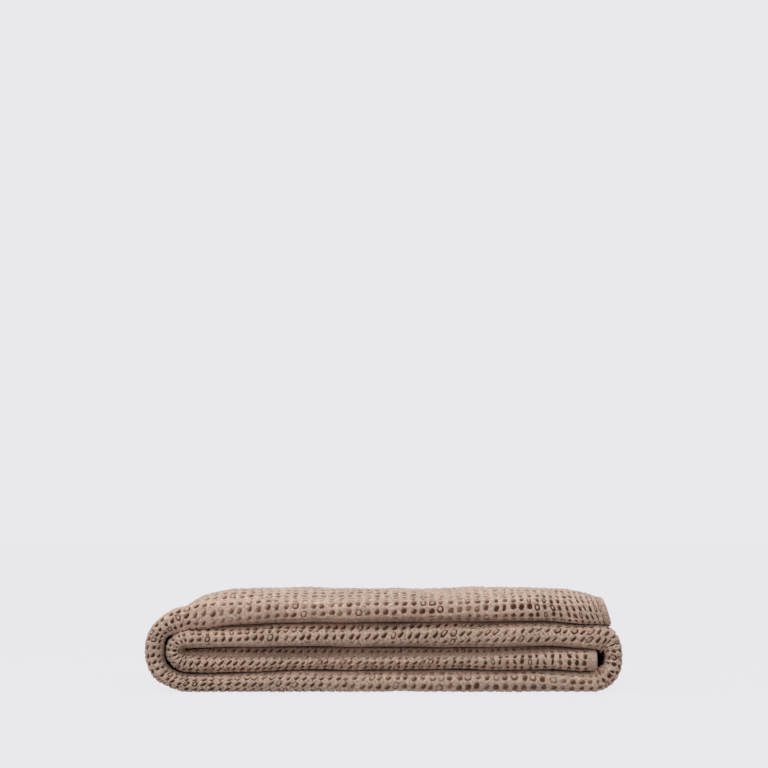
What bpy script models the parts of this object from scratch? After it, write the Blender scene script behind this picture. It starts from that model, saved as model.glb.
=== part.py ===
"""Waffle weave cotton blanket, folded for the shelf.

The blanket is one sheet of cloth, hemmed all round. It is folded in half twice across its
width, which makes a strip of four plies with a round fold along the front. The strip is then
rolled up flat from its inner hem, so that it lies in four layers:

    layer 4, the top      ends in the outer hem at the right
    layer 3               joined to layer 1 by the right bend
    layer 2               joined to layer 3 by the inner bend, ends in the inner hem
    layer 1, the bottom   joined to layer 4 by the outer bend at the left

The sheet is worked out in two steps. Even layers come first: a path in the XZ plane carries
the strip, and a profile across it places the four plies. Smooth shifts then make the whole
stack uneven. They never fold space over, so the plies stay apart.

Metres, +Z up, front towards -Y. The origin is under the middle of the blanket.
"""

import math

import bpy
import numpy as np

# The blanket laid out flat
BLANKET_WIDTH = 1.50
CLOTH = 0.0048  # how deep the waffle weave is

# The strip of four plies
PLY_PITCH = 0.0060
OUTER_FOLD_RADIUS = 1.5 * PLY_PITCH
INNER_FOLD_RADIUS = 0.5 * PLY_PITCH
HALF_STRIP = OUTER_FOLD_RADIUS + CLOTH / 2
FOLD_ARCS = math.pi * (OUTER_FOLD_RADIUS + 2 * INNER_FOLD_RADIUS)
PLY_RUN = (BLANKET_WIDTH - FOLD_ARCS) / 4  # the flat part of a ply, front to back
EDGE_STEP = 0.0025  # at the back one free edge stands out this much, the other stays in

# The stack of four layers
LAYER_PITCH = 0.0242
LAYER_MIDDLES = [HALF_STRIP + n * LAYER_PITCH for n in range(4)]
EVEN_TOP = LAYER_MIDDLES[3] + HALF_STRIP
LINE_PITCH = EVEN_TOP / 4  # between the lines where even layers meet

# The bends. side is -1 at the left and 1 at the right. apex is where the outer face reaches
# furthest, and apex_z its height among even layers. The low and the high layer are counted
# from 0. reach is how far from the apex each half of the bend begins, on its outer face.
# squeeze is the share of its thickness that the strip keeps round the apex. The powers are
# those of the superellipses that each half follows, where 2 is an ellipse.
BENDS = {
    #        side   apex    apex_z  low high reach_low reach_high squeeze power_low power_high
    "outer": (-1, -0.2464, 0.0440, 0, 3, 0.0440, 0.0600, 0.78, 2.0, 2.8),
    "right": (1, 0.2464, 0.0395, 0, 2, 0.0370, 0.0280, 0.80, 2.4, 3.0),
    "inner": (-1, -0.2260, 0.0470, 1, 2, 0.0240, 0.0240, 0.88, 2.0, 2.2),
}
SQUEEZED_FROM = math.radians(65)  # the turn at which a bend has its full squeeze
OUTER_HEM_X = 0.2310
INNER_HEM_X = 0.2194
HEM_LEAN = 0.0040  # the outer hem's upper ply ends this far short, its lower ply past it
HEM_LEAN_FROM = 0.12

# The heights at which the layers meet, seen from the front, at places along X
MEETING_LINES = (
    # x      line_1  line_2  line_3   top
    (-0.246, 0.0195, 0.0430, 0.0650, 0.0880),
    (-0.215, 0.0195, 0.0430, 0.0645, 0.0895),
    (-0.180, 0.0190, 0.0445, 0.0658, 0.0930),
    (-0.137, 0.0209, 0.0452, 0.0682, 0.0945),
    (-0.087, 0.0222, 0.0455, 0.0697, 0.0950),
    (0.000, 0.0226, 0.0455, 0.0698, 0.0950),
    (0.067, 0.0230, 0.0448, 0.0706, 0.0955),
    (0.116, 0.0228, 0.0453, 0.0708, 0.0960),
    (0.152, 0.0228, 0.0460, 0.0712, 0.0960),
    (0.177, 0.0222, 0.0455, 0.0704, 0.0955),
    (0.205, 0.0213, 0.0440, 0.0688, 0.0950),
    (0.246, 0.0210, 0.0430, 0.0674, 0.0930),
)
# How far the front fold of each layer stands back, at places along X
FRONT_SETBACKS = (
    # x      layer_1  layer_2  layer_3  layer_4
    (-0.246, 0.0000, 0.0010, 0.0010, 0.0010),
    (-0.190, 0.0005, 0.0035, 0.0000, 0.0020),
    (-0.110, -0.0010, 0.0045, -0.0010, 0.0010),
    (-0.020, 0.0010, 0.0030, 0.0000, -0.0005),
    (0.070, 0.0000, 0.0020, 0.0015, 0.0010),
    (0.150, -0.0010, 0.0005, 0.0000, 0.0020),
    (0.246, 0.0015, 0.0000, 0.0010, 0.0030),
)
SETBACK_DEPTH = 0.14  # a setback fades out over this distance behind the front
# The back is uneven by a slow wave, which differs from layer to layer
BACK_WAVE = 0.0030
BACK_WAVE_LENGTH = 0.31
BACK_WAVE_DEPTH = 0.12
BACK_WAVE_LAG = 1.3  # waves by which the top lags behind the bottom
# The stack is fuller behind its front folds: by what share, from where to where, and which
# share of that is left at the back
FULLNESS = 0.105
FULL_FRONT = (-0.004, 0.046)
FULL_LEFT = (-0.214, -0.158)
FULL_RIGHT = (0.236, 0.190)
LEFT_AT_BACK = 0.25

# Where the faces have their points
RUN_PLACES = np.array(  # along X, the same in each layer
    (-0.168, -0.142, -0.100, -0.050, 0.000, 0.050, 0.100, 0.150, 0.185, 0.205, 0.219)
)
RUN_END_ROOM = 0.009  # no place is this near the end of its run
BEND_STEPS = {"outer": (7, 6), "right": (6, 6), "inner": (5, 4)}
PLY_PLACES = np.array((0.0, 0.04, 0.08, 0.13, 0.40, 0.75, 1.0))  # shares of a ply's run
OUTER_FOLD_STEPS = 6
INNER_FOLD_STEPS = 4
SHARP_ANGLE = math.radians(50)


def smooth(low, high, value):
    """0 at low, 1 at high, and level at both."""
    share = np.clip((value - low) / (high - low), 0.0, 1.0)
    return share * share * (3 - 2 * share)


def along_table(table, value):
    """Each column of a table at these places along X, on smooth curves through its rows."""
    rows = np.array(table)
    places, amounts = rows[:, 0], rows[:, 1:]
    slopes = np.gradient(amounts, places, axis=0)
    cell = np.clip(np.searchsorted(places, value) - 1, 0, len(places) - 2)
    width = places[cell + 1] - places[cell]
    t = np.clip((value - places[cell]) / width, 0.0, 1.0)[:, None]
    width = width[:, None]
    return (
        (2 * t**3 - 3 * t**2 + 1) * amounts[cell]
        + (t**3 - 2 * t**2 + t) * width * slopes[cell]
        + (3 * t**2 - 2 * t**3) * amounts[cell + 1]
        + (t**3 - t**2) * width * slopes[cell + 1]
    )


def hump(distance):
    """1 at distance 0 and 0 from 1 outwards. Humps that are 1 apart add up to 1."""
    return np.where(np.abs(distance) < 1, np.cos(distance * math.pi / 2) ** 2, 0.0)


def half_bend(bend, upper, turns):
    """Rows of the strip on one half of a bend. turns is 0 at its run and pi/2 at its apex."""
    side, apex, apex_z, low, high, *halves = BENDS[bend]
    reach_low, reach_high, squeeze, power_low, power_high = halves
    half_at_apex = HALF_STRIP * squeeze
    reach = (reach_high if upper else reach_low) - half_at_apex
    power = power_high if upper else power_low
    rise = LAYER_MIDDLES[high if upper else low] - apex_z
    across, up = np.sin(turns), np.cos(turns).clip(0.0)
    x = apex - side * (half_at_apex + reach * (1 - across ** (2 / power)))
    z = apex_z + rise * up ** (2 / power)
    out_x = side * across ** (2 - 2 / power) / reach
    out_z = up ** (2 - 2 / power) / rise
    length = np.hypot(out_x, out_z)
    share = 1 - (1 - squeeze) * smooth(0.0, SQUEEZED_FROM, turns)
    return np.column_stack([x, z, out_x / length, out_z / length, share])


def bend_rows(bend, downwards):
    """Rows of the strip round a bend, both its ends included."""
    upper_steps, lower_steps = BEND_STEPS[bend]
    upper = half_bend(bend, True, np.linspace(0, math.pi / 2, upper_steps + 1))
    lower = half_bend(bend, False, np.linspace(math.pi / 2, 0, lower_steps + 1))
    rows = np.concatenate([upper, lower[1:]])
    return rows if downwards else rows[::-1]


def run_rows(start, end, layer, outwards):
    """Rows of the strip on the straight run between two bends, without its ends."""
    low, high = min(start, end), max(start, end)
    x = RUN_PLACES[(RUN_PLACES > low + RUN_END_ROOM) & (RUN_PLACES < high - RUN_END_ROOM)]
    x = x if end > start else x[::-1]
    same = np.ones_like(x)
    return np.column_stack(
        [x, LAYER_MIDDLES[layer] * same, 0 * same, outwards * same, same]
    )


def strip_rows():
    """The strip's middle line, from the outer hem to the inner one. A row holds x, z, the
    direction outwards in x and z, and the share of its thickness that the strip keeps."""
    outer = bend_rows("outer", downwards=True)
    right = bend_rows("right", downwards=False)
    inner = bend_rows("inner", downwards=True)
    outer_hem = [[OUTER_HEM_X, LAYER_MIDDLES[3], 0.0, 1.0, 1.0]]
    inner_hem = [[INNER_HEM_X, LAYER_MIDDLES[1], 0.0, -1.0, 1.0]]
    return np.concatenate(
        [
            outer_hem,
            run_rows(OUTER_HEM_X, outer[0, 0], 3, 1.0),
            outer,
            run_rows(outer[-1, 0], right[0, 0], 0, -1.0),
            right,
            run_rows(right[-1, 0], inner[0, 0], 2, 1.0),
            inner,
            run_rows(inner[-1, 0], INNER_HEM_X, 1, -1.0),
            inner_hem,
        ]
    )


def ply_rows(offset, facing, back, backwards):
    """Rows of a flat ply that reaches this far back."""
    y = PLY_PLACES * back
    same = np.ones_like(y)
    rows = np.column_stack([offset * same, y, facing * same, 0 * same])
    return rows if backwards else rows[::-1]


def fold_rows(middle, y, start, toward, facing, steps):
    """Rows of a round fold, without its ends. It leaves middle + start, bulges to the front
    (toward -1) or the back (toward 1), and comes in at middle - start. facing is 1 where the
    outer side of the fold is the face of the cloth, and -1 where it is the reverse."""
    turns = np.linspace(0, math.pi, steps + 1)[1:-1]
    across = math.copysign(1, start) * np.cos(turns)
    along = toward * np.sin(turns)
    radius = abs(start)
    return np.column_stack(
        [middle + radius * across, y + radius * along, facing * across, facing * along]
    )


def profile_rows():
    """The sheet's line across the strip, from one free edge to the other. A row holds the
    offset outwards, y behind the front folds, and the direction that the face looks."""
    outer, inner = OUTER_FOLD_RADIUS, INNER_FOLD_RADIUS
    back_fold = 2 * inner
    return np.concatenate(
        [
            ply_rows(-outer, -1.0, PLY_RUN + EDGE_STEP, backwards=False),
            fold_rows(0.0, 0.0, -outer, -1, 1, OUTER_FOLD_STEPS),
            ply_rows(outer, 1.0, PLY_RUN, backwards=True),
            fold_rows(back_fold, PLY_RUN, inner, 1, 1, INNER_FOLD_STEPS),
            ply_rows(inner, -1.0, PLY_RUN, backwards=False),
            fold_rows(0.0, 0.0, inner, -1, -1, INNER_FOLD_STEPS),
            ply_rows(-inner, 1.0, PLY_RUN - EDGE_STEP, backwards=True),
        ]
    )


def even_points(strip, profile, above):
    """Points of the sheet in its even layers, this far above its middle on the face's side."""
    offset = profile[:, 0] + above * profile[:, 2]
    y = profile[:, 1] + above * profile[:, 3]
    outwards = strip[:, 4, None] * offset
    return np.stack(
        [
            strip[:, 0, None] + strip[:, 2, None] * outwards,
            np.broadcast_to(y, outwards.shape),
            strip[:, 1, None] + strip[:, 3, None] * outwards,
        ],
        axis=-1,
    ).reshape(-1, 3)


def uneven(points):
    """The same points in the uneven stack. Z = 0 stays where it is."""
    x, y, z = points.T
    heights = along_table(MEETING_LINES, x)
    setbacks = along_table(FRONT_SETBACKS, x)
    in_front = 1 - smooth(0.0, SETBACK_DEPTH, y)
    lift, back = np.zeros_like(z), np.zeros_like(z)
    for n in range(4):
        line = (n + 1) * LINE_PITCH
        lift += (heights[:, n] - line) * hump((z - line) / LINE_PITCH)
        back += setbacks[:, n] * hump((z - LAYER_MIDDLES[n]) / LAYER_PITCH) * in_front
    at_back = smooth(PLY_RUN - BACK_WAVE_DEPTH, PLY_RUN, y)
    phase = 2 * math.pi * (x / BACK_WAVE_LENGTH + BACK_WAVE_LAG * z / EVEN_TOP)
    back += BACK_WAVE * np.sin(phase) * at_back
    full = smooth(*FULL_LEFT, x) * smooth(*FULL_RIGHT, x) * smooth(*FULL_FRONT, y)
    way_back = ((y - FULL_FRONT[1]) / (PLY_RUN - FULL_FRONT[1])).clip(0.0, 1.0)
    full *= 1 - (1 - LEFT_AT_BACK) * way_back
    in_top = z > 3 * LINE_PITCH
    lean = (LAYER_MIDDLES[3] - z) / HALF_STRIP * smooth(HEM_LEAN_FROM, OUTER_HEM_X, x)
    x = x + np.where(in_top, HEM_LEAN * lean, 0.0)
    return np.column_stack([x, y + back, (z + lift) * (1 + FULLNESS * full)])


def sheet_mesh(name):
    """The whole sheet as one closed mesh: its face, its reverse and the four edges."""
    strip, profile = strip_rows(), profile_rows()
    rows, columns = len(strip), len(profile)
    points = np.concatenate(
        [uneven(even_points(strip, profile, side * CLOTH / 2)) for side in (1, -1)]
    )
    points[:, 1] -= (points[:, 1].min() + points[:, 1].max()) / 2

    def corner(row, column, reverse):
        return (reverse * rows + row) * columns + column

    faces = []
    for r in range(rows - 1):
        for c in range(columns - 1):
            ring = [(r, c), (r, c + 1), (r + 1, c + 1), (r + 1, c)]
            faces.append([corner(*at, 0) for at in ring])
            faces.append([corner(*at, 1) for at in reversed(ring)])
    border = (
        [(r, 0) for r in range(rows - 1)]
        + [(rows - 1, c) for c in range(columns - 1)]
        + [(r, columns - 1) for r in range(rows - 1, 0, -1)]
        + [(0, c) for c in range(columns - 1, 0, -1)]
    )
    for here, after in zip(border, border[1:] + border[:1]):
        faces.append(
            [corner(*here, 0), corner(*after, 0), corner(*after, 1), corner(*here, 1)]
        )
    mesh = bpy.data.meshes.new(name)
    mesh.from_pydata(points.tolist(), [], faces)
    mesh.shade_smooth()
    mesh.set_sharp_from_angle(angle=SHARP_ANGLE)
    return mesh


def cotton(name):
    """Washed cotton in a dusty brown."""
    material = bpy.data.materials.new(name)
    material.use_nodes = True
    shader = material.node_tree.nodes["Principled BSDF"]
    shader.inputs["Base Color"].default_value = (0.45, 0.33, 0.26, 1.0)
    shader.inputs["Roughness"].default_value = 0.95
    shader.inputs["Metallic"].default_value = 0.0
    return material


def main():
    for obj in list(bpy.data.objects):
        bpy.data.objects.remove(obj)
    blanket = bpy.data.objects.new("blanket", sheet_mesh("blanket"))
    blanket.data.materials.append(cotton("cotton"))
    bpy.context.scene.collection.objects.link(blanket)


main()
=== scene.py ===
"""The looks of the waffle weave cotton blanket: its cloth, waffle cells and plain hems.

The sheet is described by two lengths on its face. Along is the way along the folded strip,
from the outer hem (0) over the top, round the left bend, under the stack, round the right
bend, through layer 3, round the inner bend and through layer 2 to the inner hem. Across runs
over the front fold: 0 is the front-most line, plus leads to the ply on the strip's outer side
and its back fold, minus to the ply on the strip's inner side. One function, on_cloth, takes
such a place to the folded stack, so every piece here lies on the same folds as the CAD solid.

Metres, +Z up, front towards -Y, as in the CAD part.
"""

import math

import bpy
import numpy as np
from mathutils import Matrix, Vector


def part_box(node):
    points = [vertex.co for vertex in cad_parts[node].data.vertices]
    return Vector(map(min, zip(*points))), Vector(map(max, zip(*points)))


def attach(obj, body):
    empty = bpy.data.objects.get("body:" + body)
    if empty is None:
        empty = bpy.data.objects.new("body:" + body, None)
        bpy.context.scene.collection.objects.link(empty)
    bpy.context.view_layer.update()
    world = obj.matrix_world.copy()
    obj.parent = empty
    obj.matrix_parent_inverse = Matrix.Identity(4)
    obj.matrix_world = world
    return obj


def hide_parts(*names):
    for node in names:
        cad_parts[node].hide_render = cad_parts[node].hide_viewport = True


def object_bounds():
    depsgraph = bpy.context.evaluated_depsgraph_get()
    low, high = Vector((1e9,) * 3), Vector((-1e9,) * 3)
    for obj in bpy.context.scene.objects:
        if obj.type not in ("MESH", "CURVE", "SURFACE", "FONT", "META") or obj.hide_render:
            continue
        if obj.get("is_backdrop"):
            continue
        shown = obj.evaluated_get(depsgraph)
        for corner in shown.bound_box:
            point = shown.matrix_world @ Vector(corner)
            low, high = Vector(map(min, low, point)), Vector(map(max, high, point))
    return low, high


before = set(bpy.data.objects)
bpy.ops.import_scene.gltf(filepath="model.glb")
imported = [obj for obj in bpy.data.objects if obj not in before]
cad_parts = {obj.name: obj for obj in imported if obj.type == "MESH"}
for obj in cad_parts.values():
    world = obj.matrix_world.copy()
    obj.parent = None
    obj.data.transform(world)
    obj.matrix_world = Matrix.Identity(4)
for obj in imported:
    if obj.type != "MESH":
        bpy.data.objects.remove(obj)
CAD_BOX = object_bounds()
FRONT_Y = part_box("blanket")[0].y
MM = 0.001

# ---- the folds, as in the CAD

BLANKET_WIDTH, BLANKET_LENGTH = 1.50, 2.00
CLOTH = 0.0048
PLY_PITCH = 0.0060
OUTER_FOLD_RADIUS = 1.5 * PLY_PITCH
INNER_FOLD_RADIUS = 0.5 * PLY_PITCH
HALF_STRIP = OUTER_FOLD_RADIUS + CLOTH / 2
FOLD_ARCS = math.pi * (OUTER_FOLD_RADIUS + 2 * INNER_FOLD_RADIUS)
PLY_RUN = (BLANKET_WIDTH - FOLD_ARCS) / 4
EDGE_STEP = 0.0025

LAYER_PITCH = 0.0242
LAYER_MIDDLES = [HALF_STRIP + n * LAYER_PITCH for n in range(4)]
EVEN_TOP = LAYER_MIDDLES[3] + HALF_STRIP
LINE_PITCH = EVEN_TOP / 4

BENDS = {
    #        side   apex    apex_z  low high reach_low reach_high squeeze power_low power_high
    "outer": (-1, -0.2464, 0.0440, 0, 3, 0.0440, 0.0600, 0.78, 2.0, 2.8),
    "right": (1, 0.2464, 0.0395, 0, 2, 0.0370, 0.0280, 0.80, 2.4, 3.0),
    "inner": (-1, -0.2260, 0.0470, 1, 2, 0.0240, 0.0240, 0.88, 2.0, 2.2),
}
SQUEEZED_FROM = math.radians(65)
OUTER_HEM_X = 0.2310
INNER_HEM_X = 0.2194
HEM_LEAN = 0.0040
HEM_LEAN_FROM = 0.12

MEETING_LINES = (
    # x      line_1  line_2  line_3   top
    (-0.246, 0.0195, 0.0430, 0.0650, 0.0880),
    (-0.215, 0.0195, 0.0430, 0.0645, 0.0895),
    (-0.180, 0.0190, 0.0445, 0.0658, 0.0930),
    (-0.137, 0.0209, 0.0452, 0.0682, 0.0945),
    (-0.087, 0.0222, 0.0455, 0.0697, 0.0950),
    (0.000, 0.0226, 0.0455, 0.0698, 0.0950),
    (0.067, 0.0230, 0.0448, 0.0706, 0.0955),
    (0.116, 0.0228, 0.0453, 0.0708, 0.0960),
    (0.152, 0.0228, 0.0460, 0.0712, 0.0960),
    (0.177, 0.0222, 0.0455, 0.0704, 0.0955),
    (0.205, 0.0213, 0.0440, 0.0688, 0.0950),
    (0.246, 0.0210, 0.0430, 0.0674, 0.0930),
)
FRONT_SETBACKS = (
    # x      layer_1  layer_2  layer_3  layer_4
    (-0.246, 0.0000, 0.0010, 0.0010, 0.0010),
    (-0.190, 0.0005, 0.0035, 0.0000, 0.0020),
    (-0.110, -0.0010, 0.0045, -0.0010, 0.0010),
    (-0.020, 0.0010, 0.0030, 0.0000, -0.0005),
    (0.070, 0.0000, 0.0020, 0.0015, 0.0010),
    (0.150, -0.0010, 0.0005, 0.0000, 0.0020),
    (0.246, 0.0015, 0.0000, 0.0010, 0.0030),
)
SETBACK_DEPTH = 0.14
BACK_WAVE = 0.0030
BACK_WAVE_LENGTH = 0.31
BACK_WAVE_DEPTH = 0.12
BACK_WAVE_LAG = 1.3
FULLNESS = 0.105
FULL_FRONT = (-0.004, 0.046)
FULL_LEFT = (-0.214, -0.158)
FULL_RIGHT = (0.236, 0.190)
LEFT_AT_BACK = 0.25

BEND_STEPS = 120  # fine enough to bend smoothly under the waffle cells
RUN_STEP = 0.004
FOLD_STEPS = 48
PLY_STEP = 0.004

# ---- how the cloth lies on them

# Soft swellings of the whole face: wave lengths along and across, height, and phase
SWELLS = (
    # along  across  height  phase
    (0.083, 0.310, 0.00030, 0.4),
    (0.131, 0.072, 0.00040, 2.1),
    (0.047, 0.118, 0.00022, 4.0),
)
# Creases, as soft ridges (plus) or troughs (minus): the middle of each, how it is turned
# from the way along, half its length, half its width, its height, and by what share it
# flattens the cells that lie on it, or deepens them where that is minus
CREASES = (
    # along  across  turn length  width   height  flattens
    (0.03, 0.026, 0, 0.07, 0.011, 0.004, 0.0),  # top, full behind its front fold, right
    (0.014, 0.085, 0, 0.013, 0.045, 0.0024, 0.2),
    (0.16, 0.05, 0, 0.042, 0.022, 0.0006, 0.75),  # drawn smooth, with creases side by side
    (0.138, 0.046, 70, 0.018, 0.0024, 0.0007, 0.0),
    (0.149, 0.048, 71, 0.02, 0.0024, 0.0008, 0.0),
    (0.161, 0.046, 69, 0.02, 0.0025, 0.0007, 0.0),
    (0.174, 0.048, 72, 0.018, 0.0024, 0.0007, 0.0),
    (0.186, 0.052, 27, 0.03, 0.006, -0.0009, 0.0),
    (0.425, 0.15, 87, 0.11, 0.03, 0.0, 0.5),
    (0.14, 0.072, 33, 0.04, 0.009, 0.0012, 0.7),
    (0.3, 0.12, -12, 0.07, 0.012, 0.0014, 0.7),  # top, across the middle
    (0.24, 0.235, 20, 0.085, 0.013, 0.0013, 0.7),
    (0.11, 0.29, -24, 0.06, 0.011, 0.0014, 0.7),
    (0.39, 0.033, 0, 0.045, 0.008, -0.0022, 0.0),  # top, drawn in before the left bend
    (0.424, 0.2, 87, 0.21, 0.011, 0.0018, 0.35),  # and full behind that
    (0.445, 0.2, 87, 0.21, 0.008, -0.0034, 0.0),
    (0.362, 0.19, 0, 0.042, 0.13, 0.0016, 0.0),
    (0.47, 0.15, 8, 0.03, 0.012, 0.0012, 0.5),  # left bend
    (0.5, 0.29, -15, 0.03, 0.012, 0.0013, 0.5),
    (1.02, 0.19, 10, 0.026, 0.011, 0.0012, 0.5),  # right bend
    (1.086, 0.018, 0, 0.018, 0.011, 0.0026, 0.2),  # its shoulder, under the outer hem
    (1.018, -0.02, 0, 0.018, 0.007, 0.0062, 0.3),  # its inner side, full
    (1.078, -0.02, 0, 0.017, 0.007, 0.005, 0.3),
    (1.008, -0.015, 84, 0.013, 0.0024, 0.0024, 0.4),  # gathers inside it
    (1.019, -0.015, 92, 0.014, 0.0024, 0.0028, 0.4),
    (1.031, -0.015, 96, 0.014, 0.0024, 0.0027, 0.4),
    (1.044, -0.014, 90, 0.013, 0.0024, 0.002, 0.4),
    (1.058, -0.012, 95, 0.012, 0.0026, 0.001, 0.4),
    (0.452, -0.019, 0, 0.036, 0.006, 0.0046, 0.3),  # the left bend's inner side
    (0.505, -0.022, 0, 0.05, 0.005, 0.0022, 0.0),
    (1.532, -0.008, 84, 0.012, 0.0024, 0.0006, 0.3),  # gathers inside the inner bend
    (1.546, -0.01, 90, 0.013, 0.0026, 0.0008, 0.3),
    (1.561, -0.009, 94, 0.013, 0.0024, 0.0007, 0.3),
    (1.575, -0.01, 97, 0.012, 0.0026, 0.0006, 0.3),
    (1.32, 0.0145, 0, 0.17, 0.0048, -0.0054, 0.0),  # layer 3, pressed in under layer 4
    (1.4, -0.006, 0, 0.11, 0.007, 0.0018, 0.0),
    # These cells are deepened, so they also take more of the painted hollow shade, which darkens
    # layer 2 under layer 3
    (1.725, -0.0155, 0, 0.14, 0.0115, -0.0125, -0.3),  # layer 2, under layer 3
    (1.895, -0.016, 0, 0.075, 0.009, -0.0075, -0.2),
    (0.225, -0.014, 0, 0.14, 0.005, -0.005, 0.0),  # the lower sides of layers 4, 3 and 2
    (1.31, -0.0145, 0, 0.18, 0.0045, -0.0036, 0.0),
    (1.79, 0.0115, 0, 0.16, 0.0038, -0.0024, 0.0),
    (0.79, -0.014, 0, 0.2, 0.0045, -0.004, 0.0),  # layer 1, under layer 2
)

FLATTENED_LIMITS = (-0.5, 1.0)
CREASED_PAST = (-0.034, -0.016)  # further round, the strip's inner side is even
# Layer 3 presses the top of layer 2 in, and the inner front fold gives way behind it
PRESSED_FROM, PRESSED_TO = (1.525, 1.590), (1.990, 1.940)
GIVE, GIVE_REACH = 0.022, 0.045
LOWEST = 0.0003  # over the table top, so that the yarn's lumps just touch it

# ---- how the waffle lies

ROW_PITCH = 9.6 * MM  # of the cells, across the strip
LEAN_REACH = 0.020  # a leaning column is straight over the front fold, and upright past it
# How the cells lie at places along the strip: the pitch of their columns in mm, how far their
# rows have drifted in mm, how much wider than usual they are spaced on the front fold, and in
# degrees how the columns lean and the hollows turn, to the right at the top. size is a
# hollow's share of its cell, and width that of a hollow squeezed to a slit, as a share of its
# length. heel is how much deeper one side of it lies than the other, from 0 to 1. depth is a
# share of the hollow depth.
CELL_LIES = (
    # along pitch drift spread lean turn size width heel depth
    (0.0, 4.6, 4.7, 0.8, 0, -14, 0.94, 0.5, 0.4, 1.0),  # layer 4, outer hem
    (0.019, 5.4, 4.7, 0.8, 0, -14, 0.92, 0.52, 0.4, 1.05),
    (0.034, 6.5, 4.7, 0.82, 0, -13, 0.9, 0.56, 0.4, 1.05),
    (0.051, 7.3, 4.6, 0.86, 0, -12, 0.88, 0.62, 0.4, 1.05),
    (0.07, 8.0, 4.1, 0.92, 0, -8, 0.86, 0.7, 0.4, 1.0),
    (0.095, 8.8, 3.4, 0.98, 0, 4, 0.84, 0.8, 0.4, 0.9),
    (0.12, 9.3, 2.6, 1.0, 0, 6, 0.82, 0.88, 0.4, 0.84),
    (0.191, 9.4, 0.5, 1.0, 2, 10, 0.81, 0.92, 0.5, 0.8),
    (0.305, 9.35, -3.0, 1.0, 2, 8, 0.79, 0.9, 0.6, 0.7),
    (0.383, 9.3, -7.4, 1.0, 4, 10, 0.8, 0.88, 0.7, 0.78),
    (0.43, 9.3, -8.2, 1.0, 0, 6, 0.92, 0.8, 1.0, 1.0),  # outer bend
    (0.505, 9.5, -9.2, 1.0, 0, 8, 0.98, 0.76, 1.0, 1.05),
    (0.577, 9.0, -8.8, 1.0, 6, 18, 0.94, 0.78, 1.0, 0.98),  # layer 1
    (0.63, 8.7, -8.5, 1.0, 9, 24, 0.94, 0.78, 1.0, 1.0),
    (0.704, 8.5, -6.5, 1.04, 8, 22, 0.92, 0.8, 1.0, 0.9),
    (0.81, 9.0, -4.6, 1.34, 5, 16, 0.88, 0.9, 0.5, 0.66),
    (0.93, 9.8, -4.2, 1.38, 0, 8, 0.84, 0.92, 0.3, 0.6),
    (0.99, 9.8, -1.0, 1.1, 0, 10, 0.88, 0.84, 0.6, 0.68),  # right bend
    (1.045, 9.4, -1.3, 1.1, 4, 14, 1.06, 0.58, 0.6, 1.2),
    (1.072, 9.2, -1.9, 1.06, 7, 22, 1.04, 0.6, 0.8, 1.15),
    (1.099, 8.9, -2.4, 1.0, 10, 32, 0.94, 0.68, 0.9, 1.0),  # layer 3
    (1.171, 8.85, -4.2, 1.0, 12, 34, 0.92, 0.68, 1.0, 0.96),
    (1.218, 8.85, -6.2, 1.0, 11, 32, 0.92, 0.7, 1.0, 0.92),
    (1.271, 8.85, -7.8, 1.0, 9, 28, 0.94, 0.76, 1.0, 0.92),
    (1.351, 8.5, -9.4, 1.0, 6, 22, 0.94, 0.78, 1.0, 0.94),
    (1.438, 8.1, -11.0, 1.0, 3, 16, 0.94, 0.8, 0.9, 1.0),
    (1.52, 8.1, -10.4, 1.0, 0, 0, 0.94, 0.7, 0.7, 1.0),  # inner bend
    (1.557, 8.4, -9.6, 1.0, 4, 6, 1.0, 0.54, 0.7, 1.0),
    (1.594, 7.8, -8.0, 1.0, 9, 24, 0.96, 0.66, 0.9, 1.1),  # layer 2
    (1.645, 7.7, -7.0, 1.0, 13, 34, 0.94, 0.7, 1.0, 1.05),
    (1.713, 7.9, -6.0, 1.0, 12, 28, 0.94, 0.7, 1.0, 1.1),
    (1.795, 8.2, -5.3, 1.0, 8, 22, 0.92, 0.74, 1.0, 0.84),
    (1.863, 8.0, -5.6, 1.0, 5, 14, 0.92, 0.68, 0.8, 0.76),
    (1.928, 7.7, -6.1, 1.0, 0, -4, 0.96, 0.58, 0.5, 0.8),
    (1.983, 8.2, -6.1, 1.0, 0, -6, 1.0, 0.5, 0.4, 0.95),
    (2.018, 9.2, -6.1, 1.0, 0, 0, 0.94, 0.74, 0.4, 0.9),  # inner hem
)
SPREAD_REACH = 0.022
# Each hollow is deepest at its heel: the side that the stack's weight has drawn it to, which
# is down and to the right on the front folds. Behind them the heels fade out.
HEEL_WAY = (math.sqrt(0.5), -math.sqrt(0.5))
HEEL_PAST = (0.060, 0.140)
# Well behind the front folds nothing squeezes the cells any more
UNSQUEEZED_PAST = (0.030, 0.085)
UNSQUEEZED_SIZE, UNSQUEEZED_WIDTH, UNSQUEEZED_DEPTH = 0.80, 0.86, 0.62
# Away from the outer hem the cells are drawn shallower on the strip's inner side
TURNED_PAST = (-0.0040, -0.0090)
TURNED_SHALLOWS = 0.35
TURNED_FROM, TURNED_TO = (0.050, 0.120), (1.560, 1.500)
TURNED_BUT = (0.390, 0.430), (0.600, 0.570)  # not round the left bend
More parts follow.
